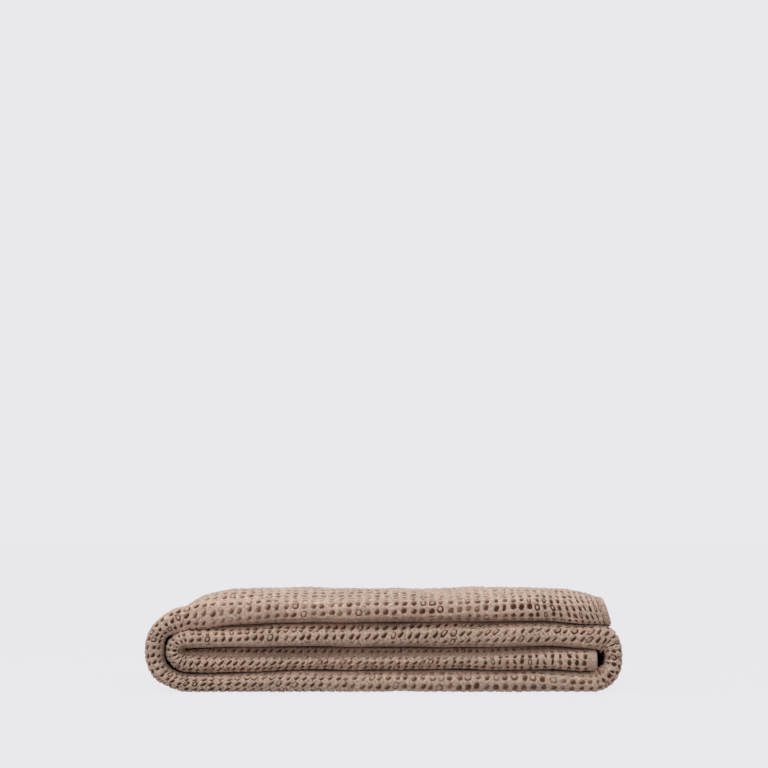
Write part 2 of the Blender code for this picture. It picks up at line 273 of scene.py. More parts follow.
# The form of a hollow. Distances are 0 in the middle of a cell and 1 on its edge, and heights
# and depths are shares of the hollow depth.
HOLLOW = {
    "hollow depth": 3.2 * MM,
    "deepest": 1.15,  # so that no pit reaches the base cloth
    "rim": 0.93,  # the pit's wall runs from here
    "floor": 0.62,  # to here
    "bowl": 0.26,  # the depth of the shallow bowl that the pit lies in
    "bowl rim": 1.30,
    "bowl floor": 0.45,
    "wall": 0.86,  # the ridge between two cells starts here
    "sag": 0.12,  # how far the ridges sag between their crossings
    "slope": 0.96,  # how much of its depth the floor loses away from the heel
    "slope top": -0.50,
    "slope foot": 0.42,
    "level": 0.30,  # a floor without a heel lies as if this near to one
    "squareness": 2.8,  # of a square hollow, as the power of its outline, at this width
    "square width": 0.9,
    "pointedness": 1.7,  # of a slit, at this width
    "slit width": 0.5,
    "lengthening": 0.50,
    "ring share": 0.15,  # of cells whose middle has popped up as a knob, which leaves a ring
    "ring widening": -0.16,  # shrinks its distances
    "ring levelling": 0.5,  # keeps this much more of its depth away from the heel
    "knob": 0.95,
    "knob rim": 0.58,
    "knob top": 0.34,
    "nick": 0.42,  # the depth of the nicks where four turned slits meet
    "nick floor": 0.3,
    "nick turn": math.radians(2),  # nicks begin at this turn of the slits
    "full nick turn": math.radians(20),
    "unevenness": 0.22,  # of the cells' places and depths, one by one
    "turn unevenness": math.radians(20),
    "width unevenness": 0.17,
    "patchiness": 0.18,  # of their depths, stretch by stretch
    "roughness": 0.75,
}
NICK_SHAPE = (5.5, 1.7, 0.0)  # the larger, the narrower, along and across
STRETCH = 71.43 * MM  # the length of deeper and shallower stretches
NOISE_SPAN = (0.35, 0.65)  # most of a noise lies between these
KNOT = 2.941 * MM  # between the lumps of the yarn
SEED = 7

OUTER_HEM, INNER_HEM = 0.0062, 0.0095  # their widths
HEM_TUCK = 0.0012  # the first cells start this far under the hem
TUCK_DEPTH = 0.0016
TUCK_CELLS = 0.35  # over this share of a column the cells rise from under the hem
EDGE_ROUND = 0.0024
EDGE_TURNS = np.radians((0.0, 22.0, 45.0, 67.0))

# The cells are made in patches. A patch runs from one place along the strip to another, over
# rows counted from the front-most line, and each cell has this many steps a side.
FRONT_ROWS, BODY_ROWS, BACK_ROWS = (-2, 4), (4, 39), (39, 44)
SEEN_TO = 1.120  # past here the strip's outer ply lies hidden inside the stack
PATCHES = {
    # name               from   to     rows        steps
    "front_top_and_left": (None, 0.780, FRONT_ROWS, 10),
    "front_right_and_inner": (0.780, None, FRONT_ROWS, 10),
    "top_right": (None, 0.215, BODY_ROWS, 8),
    "top_left": (0.215, 0.424, BODY_ROWS, 8),
    "left_bend": (0.424, 0.580, BODY_ROWS, 8),
    "underside": (0.580, 0.965, BODY_ROWS, 4),
    "right_bend": (0.965, SEEN_TO, BODY_ROWS, 8),
    "back_folds": (None, None, BACK_ROWS, 5),
}
PAD = 2  # rings of points round a patch that only serve its shading, and are cut away

# The base cloth lies this far down under the cells. It steps down past the hems and where
# each group of patches starts across the strip, and up again where the group ends.
BED_DEPTH = 0.0040
BED_AT_HEM = np.array((-0.0008, 0.0016))
BED_FRONT = (-0.021, -0.018), (0.026, 0.022)
BED_BODY = (0.018, 0.022), (0.392, 0.385)
BED_BACK = (0.372, 0.378), (0.396, 0.392)
BED_SEEN = (SEEN_TO - 0.006, SEEN_TO - 0.012)  # the body's group ends along the strip too
# Its points are closer along the bends, and closest at the hems
BENDS_ALONG = ((0.415, 0.580), (0.985, 1.102), (1.516, 1.597))
BEND_POINT_STEP = 0.0036
RUN_POINTS = (56, 56, 50, 56)
HEM_POINTS = np.array((-0.0035, -0.0008, 0.0005, 0.0020, 0.0045))
# Its face and its reverse have a half each of the UV map
UV_HALF, UV_UP = (1.0, 0.495), (0.0, 0.505)

# ---- the cotton

# The floor and heel colours are painted shade: the ridge colour made browner and darker where the
# hollows lie in shade, darkest at the heels
RIDGE_COLOUR, FLOOR_SHADE_COLOUR, HEEL_SHADE_COLOUR = "#DCBDA9", "#AE846C", "#67442F"
PLAIN_COLOUR = "#D0B19E"
BLOOM_COLOUR = "#D8E0E2"
FLOOR_SHADE_SPAN = (0.13, 0.40)  # how far down a hollow the painted shade of its floor and of its heel sets in
HEEL_SHADE_SPAN = (0.36, 0.74)
SHADE_EDGE_NOISE = 0.8  # how unevenly the painted shade of the hollows ends
WASH_MARK = 41.67 * MM  # undyed streaks and wash marks are this long
WASH_CONTRAST = 0.08
YARN = 2.5 * MM  # drawn this thick, because the real 0.5 mm is too fine to show
YARN_CONTRAST = 0.31
YARN_LIFT = 1.0 * MM
COLOUR_SPAN = (0.3, 0.7)  # of the noise that the contrasts spread over

# ---- camera and light

CAMERA_BACK, CAMERA_HEIGHT = 3.2, 0.170  # from the front-most line, above the floor
CAMERA_PITCH = math.radians(2.633)
FOCAL_SHARE = 3107 / 768  # focal length over image width
SENSOR = 36.0

PAPER, PAPER_GLOW, FLOOR_SIZE = "#3C3C3D", 0.95, 60.0
BACKDROP, OVERHEAD, LAMP = "#E9E8EB", "#D6E6F1", "#FFFAF3"
DOME_ROUND, DOME_OVERHEAD, DOME_BELOW = 0.42, 1.28, 0.50
DOME_LOWER_HALF = -0.2  # how far down the dome has its full light from below
LAMP_SIZE, LAMP_POWER = (2.2, 1.6), 15.0
LAMP_PLACE = (-1.2, -1.5, 1.9)
LAMP_TURN = (math.radians(38), math.radians(-28), 0.0)


def smooth(low, high, value):
    """0 at low, 1 at high, and level at both."""
    share = np.clip((value - low) / (high - low), 0.0, 1.0)
    return share * share * (3 - 2 * share)


def between(rise, fall, value):
    """1 between a rise and a fall, and 0 outside them. Each is where it leaves 0, and where it
    reaches 1."""
    return smooth(*rise, value) * smooth(*fall, value)


def along_table(table, value):
    """Each column of a table at these values of its first one, on smooth curves."""
    rows = np.array(table, float)
    places, amounts = rows[:, 0], rows[:, 1:]
    slopes = np.gradient(amounts, places, axis=0)
    cell = np.clip(np.searchsorted(places, value) - 1, 0, len(places) - 2)
    width = places[cell + 1] - places[cell]
    t = np.clip((value - places[cell]) / width, 0.0, 1.0)[:, None]
    width = width[:, None]
    return (
        (2 * t**3 - 3 * t**2 + 1) * amounts[cell]
        + (t**3 - 2 * t**2 + t) * width * slopes[cell]
        + (3 * t**2 - 2 * t**3) * amounts[cell + 1]
        + (t**3 - t**2) * width * slopes[cell + 1]
    )


def hump(distance):
    """1 at distance 0 and 0 from 1 outwards. Humps that are 1 apart add up to 1."""
    return np.where(np.abs(distance) < 1, np.cos(distance * math.pi / 2) ** 2, 0.0)


def half_bend(bend, upper):
    """Rows of the strip on one half of a bend, from its run to its apex."""
    side, apex, apex_z, low, high, *halves = BENDS[bend]
    reach_low, reach_high, squeeze, power_low, power_high = halves
    turns = np.linspace(0, math.pi / 2, BEND_STEPS + 1)
    half_at_apex = HALF_STRIP * squeeze
    reach = (reach_high if upper else reach_low) - half_at_apex
    power = power_high if upper else power_low
    rise = LAYER_MIDDLES[high if upper else low] - apex_z
    over, up = np.sin(turns), np.cos(turns).clip(0.0)
    x = apex - side * (half_at_apex + reach * (1 - over ** (2 / power)))
    z = apex_z + rise * up ** (2 / power)
    out_x = side * over ** (2 - 2 / power) / reach
    out_z = up ** (2 - 2 / power) / rise
    length = np.hypot(out_x, out_z)
    share = 1 - (1 - squeeze) * smooth(0.0, SQUEEZED_FROM, turns)
    return np.column_stack([x, z, out_x / length, out_z / length, share])


def bend_rows(bend, downwards):
    """Rows of the strip round a bend, both its ends included."""
    rows = np.concatenate([half_bend(bend, True), half_bend(bend, False)[-2::-1]])
    return rows if downwards else rows[::-1]


def run_rows(start, end, layer, outwards):
    """Rows of the strip on the straight run between two bends."""
    x = np.linspace(start, end, round(abs(end - start) / RUN_STEP) + 1)
    same = np.ones_like(x)
    return np.column_stack(
        [x, LAYER_MIDDLES[layer] * same, 0 * same, outwards * same, same]
    )


def strip_rows():
    """The strip's middle line from the outer hem to the inner one. A row holds x, z, the
    direction outwards in x and z, and the share of its thickness that the strip keeps."""
    outer = bend_rows("outer", downwards=True)
    right = bend_rows("right", downwards=False)
    inner = bend_rows("inner", downwards=True)
    return np.concatenate(
        [
            run_rows(OUTER_HEM_X, outer[0, 0], 3, 1.0)[:-1],
            outer,
            run_rows(outer[-1, 0], right[0, 0], 0, -1.0)[1:-1],
            right,
            run_rows(right[-1, 0], inner[0, 0], 2, 1.0)[1:-1],
            inner,
            run_rows(inner[-1, 0], INNER_HEM_X, 1, -1.0)[1:],
        ]
    )


def ply_rows(offset, facing, back, backwards):
    """Rows of a flat ply that reaches this far back."""
    y = np.linspace(0, back, round(back / PLY_STEP) + 1)
    same = np.ones_like(y)
    rows = np.column_stack([offset * same, y, facing * same, 0 * same])
    return rows if backwards else rows[::-1]


def fold_rows(middle, y, start, toward, facing):
    """Rows of a round fold, without its ends. It leaves middle + start, bulges to the front
    (toward -1) or the back (toward 1), and comes in at middle - start. facing is 1 where the
    outer side of the fold is the face of the cloth, and -1 where it is the reverse."""
    turns = np.linspace(0, math.pi, FOLD_STEPS + 1)[1:-1]
    over = math.copysign(1, start) * np.cos(turns)
    out = toward * np.sin(turns)
    radius = abs(start)
    return np.column_stack(
        [middle + radius * over, y + radius * out, facing * over, facing * out]
    )


def profile_rows():
    """The sheet's line across the strip, from one free edge to the other. A row holds the
    offset outwards, y behind the front folds, and the direction that the face looks."""
    outer, inner = OUTER_FOLD_RADIUS, INNER_FOLD_RADIUS
    return np.concatenate(
        [
            ply_rows(-outer, -1.0, PLY_RUN + EDGE_STEP, backwards=False),
            fold_rows(0.0, 0.0, -outer, -1, 1),
            ply_rows(outer, 1.0, PLY_RUN, backwards=True),
            fold_rows(2 * inner, PLY_RUN, inner, 1, 1),
            ply_rows(inner, -1.0, PLY_RUN, backwards=False),
            fold_rows(0.0, 0.0, inner, -1, -1),
            ply_rows(-inner, 1.0, PLY_RUN - EDGE_STEP, backwards=True),
        ]
    )


def run_lengths(x, y):
    """How far along a line of points each point is."""
    return np.concatenate([[0.0], np.cumsum(np.hypot(np.diff(x), np.diff(y)))])


STRIP, PROFILE = strip_rows(), profile_rows()
ALONG = run_lengths(*(STRIP[:, :2] + STRIP[:, 2:4] * STRIP[:, 4:] * HALF_STRIP).T)
ACROSS = run_lengths(*(PROFILE[:, :2] + PROFILE[:, 2:] * CLOTH / 2).T)
ACROSS -= ACROSS[np.argmin(PROFILE[:, 1])]
STRIP_END = ALONG[-1]
BACK_FOLD = (PLY_RUN + math.pi / 2 * HALF_STRIP, PLY_RUN + math.pi * HALF_STRIP)
INNER_FRONT = ACROSS[-1] - PLY_RUN + EDGE_STEP


def uneven(points):
    """The same points in the uneven stack. Z = 0 stays where it is."""
    x, y, z = points.T
    heights = along_table(MEETING_LINES, x)
    setbacks = along_table(FRONT_SETBACKS, x)
    in_front = 1 - smooth(0.0, SETBACK_DEPTH, y)
    lift, back = np.zeros_like(z), np.zeros_like(z)
    for n in range(4):
        line = (n + 1) * LINE_PITCH
        lift += (heights[:, n] - line) * hump((z - line) / LINE_PITCH)
        back += setbacks[:, n] * hump((z - LAYER_MIDDLES[n]) / LAYER_PITCH) * in_front
    at_back = smooth(PLY_RUN - BACK_WAVE_DEPTH, PLY_RUN, y)
    phase = 2 * math.pi * (x / BACK_WAVE_LENGTH + BACK_WAVE_LAG * z / EVEN_TOP)
    back += BACK_WAVE * np.sin(phase) * at_back
    full = between(FULL_LEFT, FULL_RIGHT, x) * smooth(*FULL_FRONT, y)
    way_back = ((y - FULL_FRONT[1]) / (PLY_RUN - FULL_FRONT[1])).clip(0.0, 1.0)
    full *= 1 - (1 - LEFT_AT_BACK) * way_back
    in_top = z > 3 * LINE_PITCH
    lean = (LAYER_MIDDLES[3] - z) / HALF_STRIP * smooth(HEM_LEAN_FROM, OUTER_HEM_X, x)
    x = x + np.where(in_top, HEM_LEAN * lean, 0.0)
    return np.column_stack([x, y + back, (z + lift) * (1 + FULLNESS * full)])


def gives_way(along, across):
    """How far back layer 2's inner front fold gives way."""
    near = np.exp(-(((across - INNER_FRONT) / GIVE_REACH) ** 2))
    return GIVE * near * between(PRESSED_FROM, PRESSED_TO, along)


def folded(along, across, above):
    """Places on the folded stack, this far above the middle of the cloth on its face's side."""
    strip = np.column_stack([np.interp(along, ALONG, column) for column in STRIP.T])
    strip[:, 2:4] /= np.hypot(strip[:, 2], strip[:, 3])[:, None]
    offset, y, face_offset, face_y = (
        np.interp(across, ACROSS, column) for column in PROFILE.T
    )
    y = y + gives_way(along, across)
    outwards = strip[:, 4] * (offset + above * face_offset)
    x = strip[:, 0] + strip[:, 2] * outwards
    z = strip[:, 1] + strip[:, 3] * outwards
    return uneven(np.column_stack([x, y + above * face_y, z]))


def front_most():
    """The y of the front-most place on the face of the cloth, before its creases."""
    along = np.linspace(0, STRIP_END, 800)
    return folded(along, 0 * along, CLOTH / 2)[:, 1].min()


Y_SHIFT = FRONT_Y - front_most()


def on_crease(crease, along, across):
    """1 in the middle of a crease, fading to 0 past its length and width."""
    middle, over, turn, length, width, _, _ = crease
    cos, sin = math.cos(math.radians(turn)), math.sin(math.radians(turn))
    ahead, aside = along - middle, across - over
    by_length = (ahead * cos + aside * sin) / length
    by_width = (aside * cos - ahead * sin) / width
    return np.exp(-(by_length**2) - by_width**2)


def flattened(along, across):
    """By what share the creases flatten the cells here. Minus is deeper."""
    shares = (crease[-1] * on_crease(crease, along, across) for crease in CREASES)
    return sum(shares).clip(*FLATTENED_LIMITS)


def swell(along, across):
    """How far the swellings and creases raise the cloth here."""
    height = np.zeros_like(along)
    for wave_along, wave_across, amount, phase in SWELLS:
        turns = along / wave_along + across / wave_across
        height += amount * np.sin(2 * math.pi * turns + phase)
    for crease in CREASES:
        height += crease[-2] * on_crease(crease, along, across)
    return height * smooth(*CREASED_PAST, across) * (1 - smooth(*BACK_FOLD, across))


def on_cloth(along, across, depth):
    """Places on the blanket at this depth under the face of the cloth. The table top presses
    its underside flat."""
    above = CLOTH / 2 - depth + swell(along, across)
    places = folded(along, across, above) + np.array((0.0, Y_SHIFT, 0.0))
    places[:, 2] = np.maximum(places[:, 2], LOWEST)
    return places


# ---- the meshes


def grid_faces(rows, columns):
    """Faces of a grid of points, numbered row by row."""
    first = np.arange((rows - 1) * columns).reshape(rows - 1, columns)[:, :-1]
    return np.stack([first, first + 1, first + columns + 1, first + columns], axis=-1)


def mesh_of(name, points, faces, uv_maps=None):
    """A mesh object. faces has four corners a face. uv_maps holds a UV for every point."""
    mesh = bpy.data.meshes.new(name)
    mesh.vertices.add(len(points))
    mesh.vertices.foreach_set("co", points.ravel().astype(np.float32))
    corners = faces.reshape(-1).astype(np.int32)
    mesh.loops.add(len(corners))
    mesh.loops.foreach_set("vertex_index", corners)
    mesh.polygons.add(len(corners) // 4)
    mesh.polygons.foreach_set("loop_start", np.arange(0, len(corners), 4, dtype=np.int32))
    for map_name, uv in (uv_maps or {}).items():
        layer = mesh.uv_layers.new(name=map_name)
        layer.uv.foreach_set("vector", uv[corners].ravel().astype(np.float32))
    mesh.update(calc_edges=True)
    mesh.validate()
    mesh.shade_smooth()
    obj = bpy.data.objects.new(name, mesh)
    bpy.context.scene.collection.objects.link(obj)
    return obj


def column_lines():
    """Where each line between two columns of cells lies along the strip."""
    along = np.linspace(0, STRIP_END, 4001)
    pitch = along_table(CELL_LIES, along)[:, 0] * MM
    step = along[1] - along[0]
    number = np.concatenate([[0.0], np.cumsum(step / ((pitch[1:] + pitch[:-1]) / 2))])
    start = np.interp(OUTER_HEM - HEM_TUCK, along, number)
    end = np.interp(STRIP_END - INNER_HEM + HEM_TUCK, along, number)
    columns = round(end - start)
    number = (number - start) * columns / (end - start)
    return columns, number, along


COLUMNS, LINE_NUMBER, LINE_ALONG = column_lines()


def cell_places(column, row):
    """Where these numbers of column and row lie along and across the strip."""
    along = np.interp(column, LINE_NUMBER, LINE_ALONG)
    _, drift, spread, lean, *_ = along_table(CELL_LIES, along).T
    across = ROW_PITCH * (row - 0.5) + drift * MM
    across += (spread - 1) * SPREAD_REACH * np.tanh(across / SPREAD_REACH)
    away = LEAN_REACH * np.tanh(across / LEAN_REACH)
    return along - np.tan(np.radians(lean)) * away, across


def cell_forms(along, across):
    """What the cells at these places need to know, by the names of their attributes."""
    *_, turn, size, width, heel, depth = along_table(CELL_LIES, along).T
    turned = smooth(*TURNED_PAST, across) * between(TURNED_FROM, TURNED_TO, along)
    depth *= 1 - TURNED_SHALLOWS * turned * (1 - between(*TURNED_BUT, along))
    behind = smooth(*UNSQUEEZED_PAST, across)
    turn *= 1 - behind
    size += (UNSQUEEZED_SIZE - size) * behind
    width += (UNSQUEEZED_WIDTH - width) * behind
    depth += (UNSQUEEZED_DEPTH - depth) * behind
    heel *= 1 - smooth(*HEEL_PAST, across)
    out_x, out_z = (np.interp(along, ALONG, STRIP[:, n]) for n in (2, 3))
    return {
        "slit_turn": np.radians(turn),
        "slit_width": width,
        "size": size,
        "depth": depth * (1 - flattened(along, across)),
        "heel_along": (out_x * HEEL_WAY[1] - out_z * HEEL_WAY[0]) * heel,
        "heel_across": (out_x * HEEL_WAY[0] + out_z * HEEL_WAY[1]) * heel,
    }


def patch_mesh(name, first, last, rows, steps):
    """The bare face of one patch of cells, with what the cells need to know as attributes."""
    pad = PAD / steps
    columns = (last - first) * steps + 2 * PAD + 1
    lines = (rows[1] - rows[0]) * steps + 2 * PAD + 1
    column, row = np.meshgrid(
        np.linspace(first - pad, last + pad, columns),
        np.linspace(rows[0] - pad, rows[1] + pad, lines),
        indexing="ij",
    )
    column, row = column.ravel(), row.ravel()
    along, across = cell_places(column, row)
    tucked = 1 - between((0.0, TUCK_CELLS), (COLUMNS, COLUMNS - TUCK_CELLS), column)
    points = on_cloth(along, across, TUCK_DEPTH * tucked)
    bake = np.column_stack(
        [(column - first) / (last - first), (row - rows[0]) / (rows[1] - rows[0])]
    )
    cells = np.column_stack([column, row])
    faces = grid_faces(columns, lines)
    obj = mesh_of(name, points, faces, {"OFBake": bake, "cells": cells})
    ring = np.ones((columns, lines))
    ring[PAD:-PAD, PAD:-PAD] = 0
    for attribute, values in {**cell_forms(along, across), "pad": ring.ravel()}.items():
        layer = obj.data.attributes.new(attribute, "FLOAT", "POINT")
        layer.data.foreach_set("value", values.astype(np.float32))
    return obj


# ---- the waffle's node tree

MATH, VECTOR, NOISE = "ShaderNodeMath", "ShaderNodeVectorMath", "ShaderNodeTexNoise"
RANGE, SOFTLY = "ShaderNodeMapRange", {"interpolation_type": "SMOOTHSTEP"}
NAMED, STORE = "GeometryNodeInputNamedAttribute", "GeometryNodeStoreNamedAttribute"
SPLIT, ROTATE = "ShaderNodeSeparateXYZ", "ShaderNodeVectorRotate"


def adder(tree):
    """The function that adds nodes to this tree."""

    def add(kind, inputs=(), output=0, **settings):
        """Adds a node and returns one of its outputs. settings are the node's own. inputs
        holds a value, or the output that feeds it, for each of the first sockets, or maps
        names or numbers of sockets to them."""
        node = tree.nodes.new(kind)
        for name, value in settings.items():
            setattr(node, name, value)
        pairs = inputs.items() if isinstance(inputs, dict) else enumerate(inputs)
        for socket, value in pairs:
            if isinstance(value, bpy.types.NodeSocket):
                tree.links.new(value, node.inputs[socket])
            else:
                node.inputs[socket].default_value = value
        return node.outputs[output]

    return add


def cell_chances(add, given, cells):
    """Two random vectors for each cell, with parts from -1 to 1."""
    number = add(VECTOR, [cells], operation="FLOOR")
    column, row, _ = add(SPLIT, [number]).node.outputs
    # A column has fewer than 97 rows, so each cell gets a number of its own
    cell_id = add(MATH, [column, 97.0, row], operation="MULTIPLY_ADD")
    cell_id = add("FunctionNodeFloatToInt", [cell_id])
    next_seed = add("FunctionNodeIntegerMath", [given["seed"], 1], operation="ADD")
    span = {0: (-1.0,) * 3, 1: (1.0,) * 3, "ID": cell_id}
    return [
        add("FunctionNodeRandomValue", {**span, "Seed": seed}, data_type="FLOAT_VECTOR")
        for seed in (given["seed"], next_seed)
    ]


def hollow_distance(add, given, place, turn, width):
    """How far a place in a cell lies from the middle of its hollow. A slit is longer than a
    square hollow, and pointed."""
    turn = add(MATH, [turn, -1.0], operation="MULTIPLY")
    turned = add(ROTATE, {"Vector": place, "Angle": turn}, rotation_type="Z_AXIS")
    widths, forms = ("slit width", "square width"), ("pointedness", "squareness")
    power = add(RANGE, [width] + [given[name] for name in widths + forms])
    narrower = add(MATH, [1.0, width], operation="SUBTRACT")
    length = add(MATH, [narrower, given["lengthening"], 1.0], operation="MULTIPLY_ADD")
    x, y, _ = add(SPLIT, [turned]).node.outputs
    powers = []
    for value, size in ((x, width), (y, length)):
        value = add(MATH, [value, size], operation="DIVIDE")
        value = add(MATH, [value], operation="ABSOLUTE")
        powers.append(add(MATH, [value, power], operation="POWER"))
    total = add(MATH, powers, operation="ADD")
    root = add(MATH, [1.0, power], operation="DIVIDE")
    return add(MATH, [total, root], operation="POWER")


def pit_in_bowl(add, given, distance):
    """A crisp pit in the middle of a wide, shallow bowl."""
    pit = add(RANGE, [distance, given["rim"], given["floor"]], **SOFTLY)
    bowl = [distance, given["bowl rim"], given["bowl floor"], 0.0, given["bowl"]]
    bowl = add(RANGE, bowl, **SOFTLY)
    below_bowl = add(MATH, [1.0, given["bowl"]], operation="SUBTRACT")
    return add(MATH, [pit, below_bowl, bowl], operation="MULTIPLY_ADD")


def sloping_floor(add, given, place, heel, popped):
    """The share of its depth that a hollow keeps: all of it at the heel, and less away from
    it. Where the middle has popped up, the floor is more level."""
    toward = add(VECTOR, [place, heel], output=1, operation="DOT_PRODUCT")
    even = add(VECTOR, [heel], output=1, operation="LENGTH")
    even = add(MATH, [1.0, even], operation="SUBTRACT")
    toward = add(MATH, [even, given["level"], toward], operation="MULTIPLY_ADD")
    least = add(MATH, [1.0, given["slope"]], operation="SUBTRACT")
    least = add(MATH, [popped, given["ring levelling"], least], operation="MULTIPLY_ADD")
    return add(RANGE, [toward, given["slope top"], given["slope foot"], least], **SOFTLY)


def beside_knob(add, given, distance, popped):
    """1 beside the knob that has popped up in a hollow, and near 0 on its top."""
    knob = [distance, given["knob rim"], given["knob top"], 0.0, given["knob"]]
    knob = add(RANGE, knob, **SOFTLY)
    knob = add(MATH, [knob, popped], operation="MULTIPLY")
    return add(MATH, [1.0, knob], operation="SUBTRACT")


def nicks(add, given, centred, turn):
    """The nicks that slits leave where four cells meet, turned the other way."""
    corner = add(VECTOR, [centred], operation="SIGN")
    corner = add(VECTOR, [centred, corner], operation="SUBTRACT")
    corner = add(ROTATE, {"Vector": corner, "Angle": turn}, rotation_type="Z_AXIS")
    corner = add(VECTOR, [corner, NICK_SHAPE], operation="MULTIPLY")
    corner = add(VECTOR, [corner], output=1, operation="LENGTH")
    nick = add(RANGE, [corner, 1.0, given["nick floor"]], **SOFTLY)
    depth = add(RANGE, [turn, given["nick turn"], given["full nick turn"], 0.0, given["nick"]])
    return add(MATH, [nick, depth], operation="MULTIPLY")


def stretches(add, given, place):
    """The share of the depth by which the cells vary, stretch by stretch."""
    stretch = add(NOISE, {"Vector": place, "Scale": 1 / STRETCH})
    low = add(MATH, [1.0, given["patchiness"]], operation="SUBTRACT")
    high = add(MATH, [1.0, given["patchiness"]], operation="ADD")
    return add(RANGE, [stretch, *NOISE_SPAN, low, high])


def sagging(add, given, hollow, sizes):
    """How far down each place lies: the hollow, with ridges that are highest where they cross
    and sag between."""
    nearer = add(MATH, sizes, operation="MINIMUM")
    sag = add(RANGE, [nearer, 1.0, 0.0, 0.0, given["sag"]], **SOFTLY)
    rest = add(MATH, [1.0, sag], operation="SUBTRACT")
    fall = add(MATH, [hollow, rest, sag], operation="MULTIPLY_ADD")
    return add(MATH, [fall, given["hollow depth"]], operation="MULTIPLY")


def waffle_inputs(tree):
    """Gives the tree its named inputs, and returns them as its nodes see them."""
    face = tree.interface
    face.new_socket("Geometry", in_out="INPUT", socket_type="NodeSocketGeometry")
    for name, value in HOLLOW.items():
        socket = face.new_socket(name, in_out="INPUT", socket_type="NodeSocketFloat")
        socket.default_value = value
    seed = face.new_socket("seed", in_out="INPUT", socket_type="NodeSocketInt")
    seed.default_value = SEED
    face.new_socket("cloth", in_out="INPUT", socket_type="NodeSocketMaterial")
    face.new_socket("Geometry", in_out="OUTPUT", socket_type="NodeSocketGeometry")
    return tree.nodes.new("NodeGroupInput").outputs


# What the cells need to know, and the finished mesh doesn't
CELL_FORMS = ("slit_turn", "slit_width", "size", "depth", "heel_along", "heel_across", "pad")


def waffle_tree():
    """Presses the hollow of each waffle cell into a bare face, along its normals. A hollow is
    a rounded square. Where the cloth is sheared or gathered it becomes a turned slit."""
    tree = bpy.data.node_groups.new("waffle cells", "GeometryNodeTree")
    tree.is_modifier = True
    given, add = waffle_inputs(tree), adder(tree)
    slit_turn, slit_width, size, depth, heel_along, heel_across, pad = (
        add(NAMED, {"Name": name}, data_type="FLOAT") for name in CELL_FORMS
    )
    cells = add(NAMED, {"Name": "cells"}, data_type="FLOAT_VECTOR")
    inside = add(VECTOR, [cells], operation="FRACTION")
    from_corner_to_middle = [inside, (2.0, 2.0, 0.0), (-1.0, -1.0, 0.0)]
    centred = add(VECTOR, from_corner_to_middle, operation="MULTIPLY_ADD")
    chance, more_chance = cell_chances(add, given, cells)
    popping, turning, narrowing = add(SPLIT, [more_chance]).node.outputs
    shift = add(VECTOR, {0: chance, "Scale": given["unevenness"]}, operation="SCALE")
    moved = add(VECTOR, [centred, shift], operation="ADD")
    turn = add(MATH, [turning, given["turn unevenness"], slit_turn], operation="MULTIPLY_ADD")
    width = [narrowing, given["width unevenness"], slit_width]
    width = add(MATH, width, operation="MULTIPLY_ADD")
    distance = hollow_distance(add, given, moved, turn, width)

    # In some cells the middle has popped up, which leaves a wider ring
    limit = add(MATH, [given["ring share"], 2.0, -1.0], operation="MULTIPLY_ADD")
    popped = add(MATH, [popping, limit], operation="LESS_THAN")
    wider = add(MATH, [popped, given["ring widening"], 1.0], operation="MULTIPLY_ADD")
    distance = add(MATH, [distance, wider], operation="MULTIPLY")
    distance = add(MATH, [distance, size], operation="DIVIDE")

    hollow = pit_in_bowl(add, given, distance)
    heel = add("ShaderNodeCombineXYZ", [heel_along, heel_across])
    x, y, _ = add(SPLIT, [centred]).node.outputs
    sizes = [add(MATH, [value], operation="ABSOLUTE") for value in (x, y)]
    shares = [
        sloping_floor(add, given, moved, heel, popped),
        beside_knob(add, given, distance, popped),
        *(add(RANGE, [value, 1.0, given["wall"]], **SOFTLY) for value in sizes),
    ]
    for share in shares:
        hollow = add(MATH, [hollow, share], operation="MULTIPLY")
    hollow = add(MATH, [hollow, nicks(add, given, centred, slit_turn)], operation="MAXIMUM")

    # Cells vary one by one and stretch by stretch, are shallower on creases, and wear rough
    place = add("GeometryNodeInputPosition")
    _, _, vary = add(SPLIT, [shift]).node.outputs
    vary = add(MATH, [vary, 1.0], operation="ADD")
    for share in (vary, stretches(add, given, place), depth):
        hollow = add(MATH, [hollow, share], operation="MULTIPLY")
    knots = add(NOISE, {"Vector": place, "Scale": 1 / KNOT, "Detail": 1.0})
    knots = add(MATH, [knots, 0.5], operation="SUBTRACT")
    hollow = add(MATH, [knots, given["roughness"], hollow], operation="MULTIPLY_ADD")
    hollow = add(MATH, [hollow, given["deepest"]], operation="MINIMUM")

    down = add(MATH, [sagging(add, given, hollow, sizes), -1.0], operation="MULTIPLY")
    normal = add("GeometryNodeInputNormal")
    offset = add(VECTOR, {0: normal, "Scale": down}, operation="SCALE")
    shape = add("GeometryNodeSetPosition", {"Geometry": given[0], "Offset": offset})
    # The hollow is kept for the cloth material, which paints shade into the hollows from it
    for name, value, kind in (("hollow", hollow, "FLOAT"), ("shading", normal, "FLOAT_VECTOR")):
        kept = {"Geometry": shape, "Name": name, "Value": value}
        shape = add(STORE, kept, data_type=kind, domain="POINT")
    shape = add("GeometryNodeDeleteGeometry", [shape, pad], domain="POINT")
    shape = add("GeometryNodeRealizeInstances", [shape])
    shape = add("GeometryNodeSetMaterial", {"Geometry": shape, "Material": given["cloth"]})
    tree.links.new(shape, tree.nodes.new("NodeGroupOutput").inputs[0])
    return tree


def finished(obj, tree, inputs):
    """Runs a tree on an object and keeps the result as its plain mesh."""
    modifier = obj.modifiers.new("made", "NODES")
    modifier.node_group = tree
    sockets = {i.name: i.identifier for i in tree.interface.items_tree if i.in_out == "INPUT"}
    for name, value in inputs.items():
        modifier[sockets[name]] = value
    graph = bpy.context.evaluated_depsgraph_get()
    mesh = bpy.data.meshes.new_from_object(obj.evaluated_get(graph))
    obj.modifiers.remove(modifier)
    bare, obj.data = obj.data, mesh
    bpy.data.meshes.remove(bare)
    return obj


